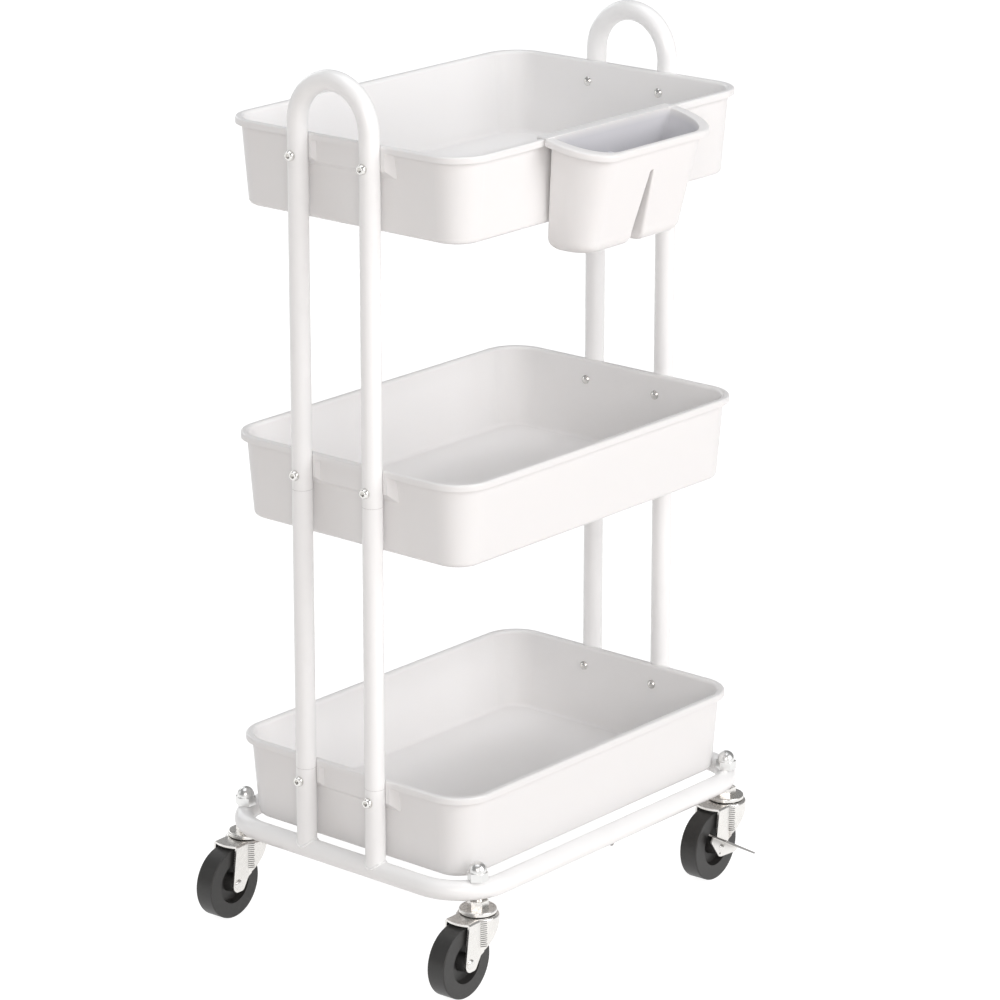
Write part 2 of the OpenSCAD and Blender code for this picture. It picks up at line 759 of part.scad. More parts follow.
// Tilted outline of the rim, drawn in by inset and at its ends by ends as well, from depth z0
// up to z1 across the rim's plane
module rim_slab(inset, ends, back, z0, z1) {
    translate([0, 0, hook_top]) rotate([-cup_tilt, 0, 0])
        translate([0, 0, z0]) linear_extrude(z1 - z0) polygon(
            d_shape(cup_x - inset - ends, back, (cup_out - inset) / cos(cup_tilt),
                    cup_rx - inset / 2, cup_ry - inset / 2));
}

module cup_outside() {
    hull() {
        rim_slab(cup_over, cup_end, back_at(hook_top), -thin, 0);
        slice(cup_round - cup_h, 0);
        slice(cup_round * half_turn_in - cup_h, cup_round * half_turn_in);
        slice(-cup_h, cup_round);
    }
}

module cup_inside() {
    lift = cup_wall;
    hull() {
        rim_slab(cup_over + cup_wall, cup_end, back_at(hook_top) + cup_wall, 0, past);
        slice(cup_round - cup_h + lift, cup_wall);
        slice(cup_round * half_turn_in - cup_h + lift, cup_wall + cup_round * half_turn_in);
        slice(lift - cup_h, cup_wall + cup_round);
    }
}

// Wedge that parts the two compartments; grow is 0 for the slot, a wall for the ridge
module wedge(grow) {
    low = -cup_h - past;
    bottom = slot_w / 2 + grow;
    top = slot_top_w / 2 + grow;
    front_z = grow - slot_front;
    back_z = grow - slot_back;
    inset = grow > 0 ? 0 : cup_wall;
    hull() polyhedron(
        [[-bottom, cup_out, low], [bottom, cup_out, low],
         [top, cup_out, front_z], [-top, cup_out, front_z],
         [-bottom, back_at(low) + inset, low], [bottom, back_at(low) + inset, low],
         [top, back_at(back_z) + inset, back_z], [-top, back_at(back_z) + inset, back_z]],
        [[0, 1, 2], [0, 2, 3], [5, 4, 7], [5, 7, 6], [4, 0, 3], [4, 3, 7],
         [1, 5, 6], [1, 6, 2], [3, 2, 6], [3, 6, 7], [4, 5, 1], [4, 1, 0]]);
}

// Hook over the tray's rim, drawn as out and up, and run along the cup's back
module hook() {
    rim_wide = lip_w + tray_wall;
    leg = rim_wide + hook_side;
    root = back_at(hook_top) + cup_wall;
    rotate([90, 0, 90]) linear_extrude(2 * hook_half, center = true) difference() {
        rounded([[root, -hook_leg], [root, hook_top],
                 [-leg - hook_t, hook_top], [-leg - hook_t, -hook_leg]],
                [0, 0, hook_round, 0]);
        rounded([[root + past, -hook_leg - past], [root + past, hook_gap],
                 [-leg, hook_gap], [-leg, -hook_leg - past]],
                [0, 0, hook_round - hook_t, 0]);
    }
}

module cup() {
    color(white) translate([cup_at, -rim_y, top_z + rim_z]) rotate(180) difference() {
        union() {
            difference() {
                union() {
                    cup_outside();
                    difference() {
                        rim_slab(0, 0, 0, -cup_lip_h, 0);
                        rim_slab(cup_lip_t, 0, -past, -cup_lip_h - past, -cup_lip_t);
                        translate([-cup_l, hook_gap - far, -far]) cube([2 * cup_l, far, 2 * far]);
                    }
                }
                cup_inside();
            }
            intersection() {
                wedge(cup_wall);
                cup_outside();
            }
            hook();
        }
        wedge(0);
    }
}

module caster_part(sx, sy, part) {
    cart() at_caster(sx, sy) {
        if (part == "stud") stud();
        if (part == "race") race();
        if (part == "balls") balls();
        if (part == "fork") fork();
        if (part == "axle") axle(sx > 0);
        if (part == "axle_nut") axle_nut();
        if (part == "bush") bush();
        if (part == "wheel") wheel();
        if (part == "brake") brake();
    }
}

cart() base_frame();
cart() place_post(-1, -1);  // post_left_front
cart() place_post(-1, 1);  // post_left_back
cart() place_post(1, -1);  // post_right_front
cart() place_post(1, 1);  // post_right_back
cart() handle(-1);  // handle_left
cart() handle(1);  // handle_right
cart() tray(top_z);  // tray_top
cart() tray(mid_z);  // tray_middle
cart() tray(low_z);  // tray_bottom
cart() tray_screws(top_z);  // tray_screws_top
cart() tray_screws(mid_z);  // tray_screws_middle
cart() tray_screws(low_z);  // tray_screws_bottom
cart() sleeve_nuts(top_z);  // sleeve_nuts_top
cart() sleeve_nuts(mid_z);  // sleeve_nuts_middle
cart() sleeve_nuts(low_z);  // sleeve_nuts_bottom
cart() cup();
cart() cap_nuts();
cart() rail_rivet();
caster_part(-1, -1, "stud");  // stud_lf
caster_part(-1, -1, "race");  // race_lf
caster_part(-1, -1, "balls");  // balls_lf
caster_part(-1, -1, "fork");  // fork_lf
caster_part(-1, -1, "axle");  // axle_lf
caster_part(-1, -1, "axle_nut");  // axle_nut_lf
caster_part(-1, -1, "bush");  // bush_lf
caster_part(-1, -1, "wheel");  // wheel_lf
caster_part(-1, 1, "stud");  // stud_lb
caster_part(-1, 1, "race");  // race_lb
caster_part(-1, 1, "balls");  // balls_lb
caster_part(-1, 1, "fork");  // fork_lb
caster_part(-1, 1, "axle");  // axle_lb
caster_part(-1, 1, "axle_nut");  // axle_nut_lb
caster_part(-1, 1, "bush");  // bush_lb
caster_part(-1, 1, "wheel");  // wheel_lb
caster_part(1, -1, "stud");  // stud_rf
caster_part(1, -1, "race");  // race_rf
caster_part(1, -1, "balls");  // balls_rf
caster_part(1, -1, "fork");  // fork_rf
caster_part(1, -1, "axle");  // axle_rf
caster_part(1, -1, "axle_nut");  // axle_nut_rf
caster_part(1, -1, "bush");  // bush_rf
caster_part(1, -1, "wheel");  // wheel_rf
caster_part(1, 1, "stud");  // stud_rb
caster_part(1, 1, "race");  // race_rb
caster_part(1, 1, "balls");  // balls_rb
caster_part(1, 1, "fork");  // fork_rb
caster_part(1, 1, "axle");  // axle_rb
caster_part(1, 1, "axle_nut");  // axle_nut_rb
caster_part(1, 1, "bush");  // bush_rb
caster_part(1, 1, "wheel");  // wheel_rb
caster_part(1, -1, "brake");  // brake_rf
caster_part(1, 1, "brake");  // brake_rb
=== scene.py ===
# %% [markdown]
# # A three-tier utility cart
# This notebook dresses a finished CAD model of a rolling cart: white tubes and trays, a hanging cup,
# and four zinc-plated casters with black wheels. The CAD model holds every size, so nothing here
# moves or scales it. We load it first, because every later step asks it where things are.

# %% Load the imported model
import bpy
import bmesh
import math
import numpy as np
from mathutils import Matrix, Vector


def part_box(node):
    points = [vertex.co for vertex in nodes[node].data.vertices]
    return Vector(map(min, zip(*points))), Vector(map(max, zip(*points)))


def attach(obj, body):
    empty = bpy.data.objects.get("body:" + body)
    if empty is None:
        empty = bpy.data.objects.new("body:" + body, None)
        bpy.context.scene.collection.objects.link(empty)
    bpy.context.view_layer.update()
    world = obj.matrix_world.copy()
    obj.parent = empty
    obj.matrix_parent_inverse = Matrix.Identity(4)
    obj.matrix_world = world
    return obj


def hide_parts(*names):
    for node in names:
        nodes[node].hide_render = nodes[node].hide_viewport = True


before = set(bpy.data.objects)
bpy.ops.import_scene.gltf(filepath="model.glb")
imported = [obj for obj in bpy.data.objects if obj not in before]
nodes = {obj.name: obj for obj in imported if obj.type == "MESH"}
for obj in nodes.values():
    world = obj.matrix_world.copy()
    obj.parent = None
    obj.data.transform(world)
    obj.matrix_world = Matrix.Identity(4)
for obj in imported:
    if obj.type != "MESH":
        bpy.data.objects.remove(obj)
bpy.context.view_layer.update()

# %% [markdown]
# The cart's own middle is not the origin, because the cup and the trailing wheels reach further on
# two sides. The base loop is symmetrical, so its box gives the middle, and later the boxes of a
# caster's stud and bush give the caster's place. A place that is read from the model follows the
# model when it changes.

# %% Find the cart's middle and main sizes
loop_low, loop_high = [np.array(corner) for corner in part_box("base_frame")]
middle = (loop_low[:2] + loop_high[:2]) / 2
tube_radius = 0.0095

def box_middle(name):
    """Middle of a node's box."""
    low_corner, high_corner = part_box(name)
    return (np.array(low_corner) + np.array(high_corner)) / 2

print("middle of the cart", middle, "base loop", loop_high - loop_low)

# %% [markdown]
# ## Camera
# A long lens from about four metres keeps the posts nearly parallel, as in a catalogue picture.
# The camera's axes are written out, because three clear numbers a row are easier to check than
# three rotations. The lens shift moves the frame without turning the camera.

# %% Place the camera
camera_data = bpy.data.cameras.new("catalogue_camera")
camera_data.sensor_width = 36.0
camera_data.lens = 153.574
camera_data.shift_x = 0.07778
camera_data.shift_y = -0.03043
camera_data.clip_end = 60.0
camera = bpy.data.objects.new("catalogue_camera", camera_data)
bpy.context.scene.collection.objects.link(camera)
camera_right = (0.657777, -0.753192, -0.004974)
camera_up = (0.223394, 0.188785, 0.956267)
camera_back = (-0.71932, -0.63013, 0.29244)
camera_place = (-2.9108 + middle[0], -2.4677 + middle[1], 1.5869)
camera.matrix_world = Matrix(
    [[camera_right[i], camera_up[i], camera_back[i], camera_place[i]] for i in range(3)]
    + [[0, 0, 0, 1]])
bpy.context.scene.camera = camera
print("camera stands at", camera_place)

# %% [markdown]
# ## Shader maths in plain Python
# A material is a graph of nodes, and so are the world and the floor's shader. Wiring one by hand is
# slow to read, so a small class wraps an output socket and turns +, - and * into Math nodes. Every
# node comes from one method, which takes the node's type, its settings and what goes into its
# sockets.

# %% A socket that can be used in sums
class Signal:
    """An output socket. Sums with numbers or other signals add Math nodes to the same graph."""

    def __init__(self, graph, socket):
        self.graph = graph
        self.socket = socket

    def _sum(self, operation, first, second):
        return self.graph.node("ShaderNodeMath", {"operation": operation}, {0: first, 1: second})

    def __add__(self, other):
        return self._sum("ADD", self, other)

    def __radd__(self, other):
        return self._sum("ADD", other, self)

    def __sub__(self, other):
        return self._sum("SUBTRACT", self, other)

    def __rsub__(self, other):
        return self._sum("SUBTRACT", other, self)

    def __mul__(self, other):
        return self._sum("MULTIPLY", self, other)

    def __rmul__(self, other):
        return self._sum("MULTIPLY", other, self)


class Graph:
    """The node tree of a material or world, emptied first. All its nodes come from node()."""

    def __init__(self, owner):
        owner.use_nodes = True
        self.tree = owner.node_tree
        self.tree.nodes.clear()

    def node(self, kind, settings, sockets, out=0):
        """Adds a node. Settings come first, because some of them change which sockets there are.
        A socket takes a signal or a plain value. Returns the output out as a signal, or None for
        an output node, which has no way out."""
        made = self.tree.nodes.new(kind)
        for key, value in settings.items():
            setattr(made, key, value)
        for key, value in sockets.items():
            if isinstance(value, Signal):
                self.tree.links.new(value.socket, made.inputs[key])
            else:
                made.inputs[key].default_value = value
        return Signal(self, made.outputs[out]) if made.outputs else None


class Finish(Graph):
    """A material with one Principled shader and the patterns that feed it."""

    def __init__(self, name):
        self.material = bpy.data.materials.new(name)
        super().__init__(self.material)
        self.place = self.node("ShaderNodeTexCoord", {}, {}, "Object")

    def noise(self, scale, detail=3.0, rough=0.55, where=None, spread=0.0):
        """Cloudy pattern from 0 to 1; scale is in cells per metre."""
        return self.node("ShaderNodeTexNoise", {}, {
            "Vector": where or self.place, "Scale": scale, "Detail": detail,
            "Roughness": rough, "Distortion": spread})

    def stretch(self, sizes):
        """Object coordinates scaled along each axis, for patterns that run one way."""
        return self.node("ShaderNodeMapping", {}, {"Vector": self.place, "Scale": sizes})

    def between(self, signal, low, high):
        """Maps the range low to high onto 0 to 1 and cuts off what lies outside."""
        return self.node("ShaderNodeMapRange", {"clamp": True}, {
            "Value": signal, "From Min": low, "From Max": high})

    def blend(self, amount, first, second):
        """Colour that goes from first to second as amount goes from 0 to 1."""
        return self.node("ShaderNodeMix", {"data_type": "RGBA"}, {
            mix_share: amount, mix_first: first, mix_second: second}, mix_result)

    def bump(self, height, depth, strength):
        """Small relief: height from 0 to 1 stands for depth in metres."""
        return self.node("ShaderNodeBump", {}, {
            "Height": height, "Distance": depth, "Strength": strength})

    def set(self, **sockets):
        """Adds the Principled shader with these sockets and joins it to the material's output."""
        named = {key.replace("_", " "): value for key, value in sockets.items()}
        shader = self.node("ShaderNodeBsdfPrincipled", {}, named)
        self.node("ShaderNodeOutputMaterial", {}, {"Surface": shader})
        return self.material


# A Mix node has one set of sockets for each data type, so its colour sockets are found by number.
mix_share, mix_first, mix_second, mix_result = 0, 6, 7, 2

def rgb(red, green, blue):
    return (red, green, blue, 1.0)

print("shader helpers ready")

# %% [markdown]
# ## White enamel on the tubes
# The frame is steel tube, sprayed with powder and baked. The melted powder pulls into a skin with a
# very shallow orange peel, a few millimetres from crest to crest, and it dulls a little where hands
# and boxes rub. One noise gives the peel as a bump of some tens of microns, and a slower one varies
# the gloss. A thin coat over the base gives the second, sharper reflection that baked paint has.

# %% Make the enamel
def white_enamel():
    finish = Finish("white_enamel")
    peel = finish.noise(420.0, detail=2.0, rough=0.4)
    drift = finish.noise(9.0, detail=3.0)
    rubbed = finish.between(finish.noise(38.0, detail=5.0, rough=0.65), 0.55, 0.8)
    colour = finish.blend(drift, rgb(0.935, 0.935, 0.935), rgb(0.96, 0.96, 0.96))
    return finish.set(
        Base_Color=finish.blend(rubbed * 0.25, colour, rgb(0.80, 0.80, 0.80)),
        Roughness=0.30 + drift * 0.08 + rubbed * 0.10,
        Coat_Weight=0.35 - rubbed * 0.15,
        Coat_Roughness=0.12,
        Normal=finish.bump(peel, 0.00004, 0.6))

enamel = white_enamel()
print(enamel.name, len(enamel.node_tree.nodes), "nodes")

# %% [markdown]
# ## Moulded white plastic
# Trays and cup are injection-moulded polypropylene. The steel mould is spark-eroded, which leaves
# a fine even grain, and the melt cools unevenly, so the gloss wanders in broad soft clouds. Fine
# scuffs collect on the surfaces that carry things. Light also enters this plastic a little, which
# takes the hardness off its shadows, so a small amount of subsurface scattering is used. The inside
# of the cup is painted a cooler grey, as painted shade for its deep pockets: its mesh carries a
# number called inside, 1 on the inner walls, and a mesh without that number counts as 0.

# %% Make the two plastics
def moulded_white(name, warm, cool, gloss, grain):
    finish = Finish(name)
    inside = finish.node("ShaderNodeAttribute", {"attribute_name": "inside"}, {}, "Fac")
    clouds = finish.noise(6.0, detail=4.0, spread=0.6)
    spark = finish.noise(1500.0, detail=1.0, rough=0.3)
    scuff = finish.between(finish.noise(70.0, detail=8.0, rough=0.75, spread=2.0), 0.62, 0.75)
    colour = finish.blend(clouds, warm, cool)
    # painted shade: the cup's inner walls turn a cooler grey where inside is 1
    inside_shade = finish.blend(inside, colour, rgb(0.70, 0.70, 0.73))
    return finish.set(
        Base_Color=finish.blend(scuff * 0.12, inside_shade, rgb(0.79, 0.785, 0.775)),
        Roughness=gloss + clouds * 0.07 + scuff * 0.12 - spark * 0.03,
        Subsurface_Weight=0.06,
        Subsurface_Radius=(0.004, 0.0036, 0.0032),
        Normal=finish.bump(spark, grain, 0.5))

tray_plastic = moulded_white(
    "tray_plastic", rgb(0.850, 0.843, 0.842), rgb(0.864, 0.858, 0.857), 0.34, 0.00003)
cup_plastic = moulded_white(
    "cup_plastic", rgb(0.848, 0.838, 0.836), rgb(0.860, 0.851, 0.850), 0.30, 0.00002)
print(tray_plastic.name, cup_plastic.name)

# %% [markdown]
# ## Zinc on pressed steel
# The caster forks are cut and bent from sheet, then plated with zinc in a drum. Tumbling leaves
# short scratches in every direction, and the plate has faint clouds and a slightly warm tone. Two
# stretched noises cross each other for the scratches. Metallic is 1, so the colour tints the
# reflections instead of lying over them.

# %% Make the zinc and the brighter plated metals
def plated(name, light, dark, gloss, scratch, depth):
    finish = Finish(name)
    clouds = finish.noise(90.0, detail=4.0, rough=0.6)
    along = finish.noise(220.0, detail=3.0, where=finish.stretch((1.0, 7.0, 1.4)))
    across = finish.noise(260.0, detail=3.0, where=finish.stretch((6.0, 1.0, 1.2)))
    lines = (along + across) * 0.5
    return finish.set(
        Base_Color=finish.blend(clouds, dark, light),
        Metallic=1.0,
        Roughness=gloss + clouds * 0.08 + lines * scratch,
        Normal=finish.bump(lines, depth, 0.5))

zinc = plated("zinc_plate", rgb(0.86, 0.845, 0.82), rgb(0.74, 0.725, 0.70), 0.18, 0.12, 0.000015)
chrome = plated("bright_chrome", rgb(0.82, 0.82, 0.81), rgb(0.74, 0.74, 0.73), 0.25, 0.06, 0.000004)
nickel = plated("bright_nickel", rgb(0.84, 0.83, 0.81), rgb(0.72, 0.71, 0.69), 0.14, 0.08, 0.00002)
dark_steel = plated("dark_steel", rgb(0.40, 0.39, 0.38), rgb(0.30, 0.29, 0.28), 0.30, 0.15, 0.00003)
print(zinc.name, chrome.name, nickel.name, dark_steel.name)

# %% [markdown]
# The brake pedals carry painted shade: a dark grey steel colour over the zinc. A pedal reaches out
# from its caster along -Y, and the painted shade grows with the distance along -Y from the flange
# that it is bent from.

# %% Make the pedals with painted shade
flange_inset = 0.0035
shade_from, shade_full, shade_ragged = 0.0015, 0.0045, 0.002

def pedal_shade_zinc(name, node_name):
    finish = Finish(name)
    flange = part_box(node_name)[1][1] - flange_inset
    across = finish.node("ShaderNodeSeparateXYZ", {}, {"Vector": finish.place}, "Y")
    rubbed = finish.noise(150.0, detail=4.0, rough=0.6)
    # painted shade: the pedal turns dark grey with the distance along -Y from its flange, with a
    # ragged edge
    pedal_shade = finish.between(flange - across + rubbed * shade_ragged, shade_from, shade_full)
    return finish.set(
        Base_Color=finish.blend(pedal_shade, rgb(0.80, 0.785, 0.76), rgb(0.27, 0.262, 0.255)),
        Metallic=1.0,
        Roughness=0.26 + rubbed * 0.10 + pedal_shade * 0.06,
        Normal=finish.bump(rubbed, 0.00003, 0.5))

pedals = {name: pedal_shade_zinc("worn_" + name, name) for name in ("brake_rf", "brake_rb")}
print("shaded pedals:", sorted(pedals))

# %% [markdown]
# ## Black wheels
# The wheels are turned or moulded from hard black nylon. The tread has picked up a grey bloom from
# the floor, and the faces show a fine pebble and a few paler rubbed marks. The bloom is only a slow
# noise between two near-blacks, with the roughness following it.

# %% Make the black nylon
def black_nylon():
    finish = Finish("black_nylon")
    bloom = finish.noise(55.0, detail=5.0, rough=0.6)
    pebble = finish.noise(1300.0, detail=2.0, rough=0.5)
    mark = finish.between(finish.noise(160.0, detail=7.0, rough=0.7, spread=1.5), 0.60, 0.74)
    colour = finish.blend(bloom, rgb(0.022, 0.022, 0.022), rgb(0.040, 0.039, 0.037))
    return finish.set(
        Base_Color=finish.blend(mark * 0.35, colour, rgb(0.085, 0.083, 0.079)),
        Roughness=0.36 + bloom * 0.12 + mark * 0.12,
        Normal=finish.bump(pebble, 0.00005, 0.5))

nylon = black_nylon()
print(nylon.name)

# %% [markdown]
# ## Give every CAD node its finish
# The record names a slot for each node. Assigning to a node's material slots changes how it looks
# and leaves its mesh alone, so the CAD shape stays as it was packed.

# %% Dress the nodes
finish_of = [
    ("base_frame", enamel), ("post_", enamel), ("handle_", enamel),
    ("tray_screws", nickel), ("tray_", tray_plastic), ("sleeve_nuts", nickel),
    ("cup", cup_plastic), ("cap_nuts", chrome), ("rail_rivet", dark_steel),
    ("wheel_", nylon), ("stud_", zinc), ("race_", zinc), ("balls_", dark_steel),
    ("fork_", zinc), ("axle_", nickel), ("bush_", zinc)] + list(pedals.items())

def dress(node):
    for start, material in finish_of:
        if node.name.startswith(start):
            node.data.materials.clear()
            node.data.materials.append(material)
            return material.name
    raise ValueError("no finish for " + node.name)

dressed = {name: dress(node) for name, node in nodes.items()}
print(len(dressed), "nodes dressed in", len(set(dressed.values())), "finishes")

# %% [markdown]
# ## The hanging cup
# The cup is one moulding: a D-shaped bucket whose rim tilts down to the front, with a turned-down
# lip and a slot that parts its lower half into two pockets. Its CAD solid has flat facets, because
# hulls of thin slices made it. Here the same walls are one smooth surface. Every point is named by
# a column, its place round the outline, and a row, its place on the way from the inner floor up
# the inside, over the rim and down the outside to the underneath. The outline is drawn for half the
# cup and mirrored.

# %% The cup's sizes
cup_shift = -0.0027
cup_origin = np.array([middle[0] + cup_shift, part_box("tray_top")[0][1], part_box("tray_top")[1][2]])
cup_half, cup_reach, cup_tilt = 0.0932, 0.0592, math.radians(11.1)
cup_depth, cup_wall, cup_over, cup_end = 0.1055, 0.0019, 0.0030, 0.0060
foot_half, foot_reach, foot_round = 0.0734, 0.0334, 0.0120
rim_raise, cup_lean = 0.00155, 0.139772
back_gap, back_start = 0.00025, 0.007
print("cup hangs at", cup_origin)

def back_plane(z):
    """Back of the cup: a plane that leans away from the tray on its way up, so that
    y = back_gap + cup_lean * (z + back_start) with y pointing away from the tray."""
    return back_gap + cup_lean * (z + back_start)

# %% The cup's roundings and its slot
back_round = 0.003
rim_round_x, rim_round_y = 0.033, 0.045
foot_round_x, foot_round_y = 0.0184, 0.0251
slot_half_top, slot_half_foot, slot_start = 0.0020, 0.0073, 0.31
# the slot widens by slot_flare of the floor's rounding; its edge is rounded by soft_least and more
slot_flare, soft_least, soft_spread = 0.35, 0.0012, 0.0034
# the wall's length, and where in the rim's section the ends begin to draw in and over what width
wall_span = 0.09
end_from, end_span = 0.0016, 0.0014
# along the back the lip hangs no lower than this
hook_lip = -0.0015
print("slot grows from", 2 * slot_half_top, "to", 2 * slot_half_foot, "wide")

# %% [markdown]
# The outline is a D. Its straight back turns through a small corner into the side, and the side
# through a large elliptical corner into the front. Where the slot is, the front stops at the slot's
# edge, turns in through a small rounding and follows the slot's side to the back. The same count of
# points is used at each height, so rows join without gaps.

# %% Draw the D-shaped outline
back_steps, corner_steps, side_steps, bend_steps = 5, 8, 10, 24
front_steps, lip_steps, slot_steps = 16, 6, 8

def ramp(count):
    """One row of numbers i / count, from 0 to just short of 1."""
    return (np.arange(count) / count)[None, :]

def half_outline(half, back, front, rx, ry, edge, soft):
    """Half a D as x and y, each (rows, columns): straight back, arc of radius back_round, straight
    side, elliptical arc, straight front, small arc of radius soft round the slot's edge, and the
    slot's side. Every argument is a column of one value a row."""
    small = back_round
    low = np.radians(90) * ramp(corner_steps)
    high = np.radians(90) * ramp(bend_steps)
    turn = np.radians(90) * ramp(lip_steps)
    whole = (np.arange(slot_steps + 1) / slot_steps)[None, :]
    side_x = half - rx
    side_y = back + small
    parts = [
        (edge + (half - small - edge) * ramp(back_steps), back),
        (half - small + small * np.sin(low), side_y - small * np.cos(low)),
        (half, side_y + (front - ry - side_y) * ramp(side_steps)),
        (side_x + rx * np.cos(high), front - ry + ry * np.sin(high)),
        (side_x + (edge + soft - side_x) * ramp(front_steps), front),
        (edge + soft - soft * np.sin(turn), front - soft + soft * np.cos(turn)),
        (edge, front - soft + (back - front + soft) * whole)]
    pairs = [np.broadcast_arrays(x, y) for x, y in parts]
    return np.concatenate([x for x, y in pairs], 1), np.concatenate([y for x, y in pairs], 1)

round_cup = (back_steps, corner_steps, side_steps, bend_steps, front_steps, lip_steps, slot_steps)
columns = sum(round_cup) + 1
slot_from = columns - slot_steps - lip_steps - 1
print("columns round half the cup:", columns)

# %% [markdown]
# A wall point lies on a straight line from the tilted rim to the level foot, because the mould's
# walls are drafted straight. Below the foot a quarter circle turns the wall into the floor.

# %% One point for each row and column
def slot_top(grow):
    """Share of the wall at which the slot begins; on the inside it begins a wall higher."""
    return slot_start - grow / wall_span

def slot_edge(f, grow):
    """Half-width of the slot at share f of the wall: a round top, then straight sides that spread."""
    top = slot_half_top + grow
    below = np.clip((f - slot_top(grow)) * wall_span, 0, None)
    arch = np.sqrt(np.clip(1 - (1 - np.clip(below / top, 0, 1)) ** 2, 0, None)) * top
    spread = np.clip((f - slot_start) / (1 - slot_start), 0, 1) * (slot_half_foot - slot_half_top)
    return np.where(below > 0, arch + spread, 0.0)

def skin(rows):
    """Points of the whole skin, (rows, columns, 3). Each row holds inset: how far inside the rim's
    edge; f: 0 at the rim, 1 at the foot; grow: wall added to the slot; drop: angle of the floor's
    rounding; shrink: share of the way to the pocket's centre; lip: height across the rim's plane.
    A point is rim + f * (foot - rim), then moved by shrink towards the centre."""
    inset, f, grow, drop, shrink, lip = [column[:, None] for column in rows.T]
    edge = slot_edge(f, grow)
    soft = soft_least + soft_spread * np.clip(f - slot_start, 0, 1)
    soft = soft * np.clip(edge / slot_half_top, 0, 1)
    within = np.clip(inset - cup_over, 0, None)
    end_inset = cup_end * np.clip((inset - end_from) / end_span, 0, 1)
    x0, v0 = half_outline(
        cup_half - inset - end_inset, back_plane(rim_raise) + within,
        (cup_reach - inset) / math.cos(cup_tilt),
        rim_round_x - inset / 2, rim_round_y - inset / 2, edge, soft)
    turned = foot_round * (1 - np.cos(drop))
    inward = inset - cup_over + turned
    foot_back = back_plane(foot_round - cup_depth)
    x1, y1 = half_outline(
        foot_half - inward, foot_back + within + turned, foot_reach - inward,
        foot_round_x - inward / 2, foot_round_y - inward / 2, edge + slot_flare * turned, soft)
    # the lip fades out along the back, where the hook is
    sides = np.clip((np.arange(columns)[None, :] - back_steps) / corner_steps, 0, 1)
    at_back = np.maximum(lip, hook_lip)
    drop_lip = at_back + (lip - at_back) * sides
    y0 = v0 * math.cos(cup_tilt) + drop_lip * math.sin(cup_tilt)
    z0 = rim_raise - v0 * math.sin(cup_tilt) + drop_lip * math.cos(cup_tilt)
    lift = np.where(within > 0, cup_wall, 0.0)
    z1 = foot_round - cup_depth + lift - foot_round * np.sin(drop)
    x, y, z = [a + f * (b - a) for a, b in ((x0, x1), (y0, y1), (z0, z1))]
    centre_x = (edge + foot_half - inward) / 2
    centre_y = (foot_back + foot_reach) / 2 - within / 2
    return np.stack([x + (centre_x - x) * shrink, y + (centre_y - y) * shrink, z], -1)

# %% [markdown]
# The rows are listed in order of travel: inner floor, inner rounding, inner wall, the rim with its
# lip, outer wall, outer rounding and the underneath. Walls get closer rows near the slot's round
# top, so that it stays round.

# %% The rim's section and where the rows lie
arch_share = 0.06
floor_shares = np.array([0.12, 0.3, 0.5, 0.75, 1.0])
floor_turn = np.radians(np.linspace(0, 90, 9))
# a wall row closer to the rim than this share would crowd the rim's own rows
least_inside, least_outside = 0.02, 0.03

# millimetres inside the rim's edge, and millimetres across the rim's plane
rim_section = [
    (4.9, -1.0), (4.83, -0.6), (4.6, -0.27), (4.3, -0.07), (4.0, 0.0), (3.0, 0.0), (2.4, 0.0),
    (1.8, -0.03), (1.25, -0.17), (0.75, -0.45), (0.35, -0.88), (0.1, -1.4), (0.0, -2.0),
    (0.0, -3.4), (0.0, -5.9), (0.1, -6.3), (0.4, -6.5), (1.1, -6.5), (1.44, -6.3), (1.54, -5.9),
    (1.54, -2.2), (1.7, -1.7), (2.1, -1.55), (2.6, -1.6), (2.9, -1.8), (3.0, -2.2)]

def wall_shares(start):
    """Shares of the wall from 0 to 1, close together just below start."""
    arch = start + arch_share * (1 - np.cos(np.linspace(0, math.pi / 2, 12)))
    above = np.linspace(0, start, 8)[:-1]
    below = np.linspace(start + arch_share, 1, 16)[1:]
    return np.concatenate([above, arch, below])

print("rows in the rim's section:", len(rim_section))

# %% List the rows
def cup_rows():
    inner = cup_over + cup_wall
    on_inside = wall_shares(slot_top(cup_wall))[::-1][1:]
    on_outside = wall_shares(slot_start)[:-1]
    listed = [(inner, 1.0, cup_wall, math.pi / 2, share, 0.0) for share in floor_shares[::-1]]
    listed += [(inner, 1.0, cup_wall, angle, 0.0, 0.0) for angle in floor_turn[::-1]]
    listed += [(inner, f, cup_wall, 0.0, 0.0, 0.0) for f in on_inside if f > least_inside]
    listed += [(inset / 1000, 0.0, 0.0, 0.0, 0.0, lip / 1000) for inset, lip in rim_section]
    listed += [(cup_over, f, 0.0, 0.0, 0.0, 0.0) for f in on_outside if f > least_outside]
    listed += [(cup_over, 1.0, 0.0, angle, 0.0, 0.0) for angle in floor_turn]
    listed += [(cup_over, 1.0, 0.0, math.pi / 2, share, 0.0) for share in floor_shares]
    return np.array(listed)

rows = cup_rows()
print("rows from the inner floor to the underneath:", len(rows))

# %% Two helpers for every surface
merge_distance, degenerate_distance = 2e-6, 1e-7

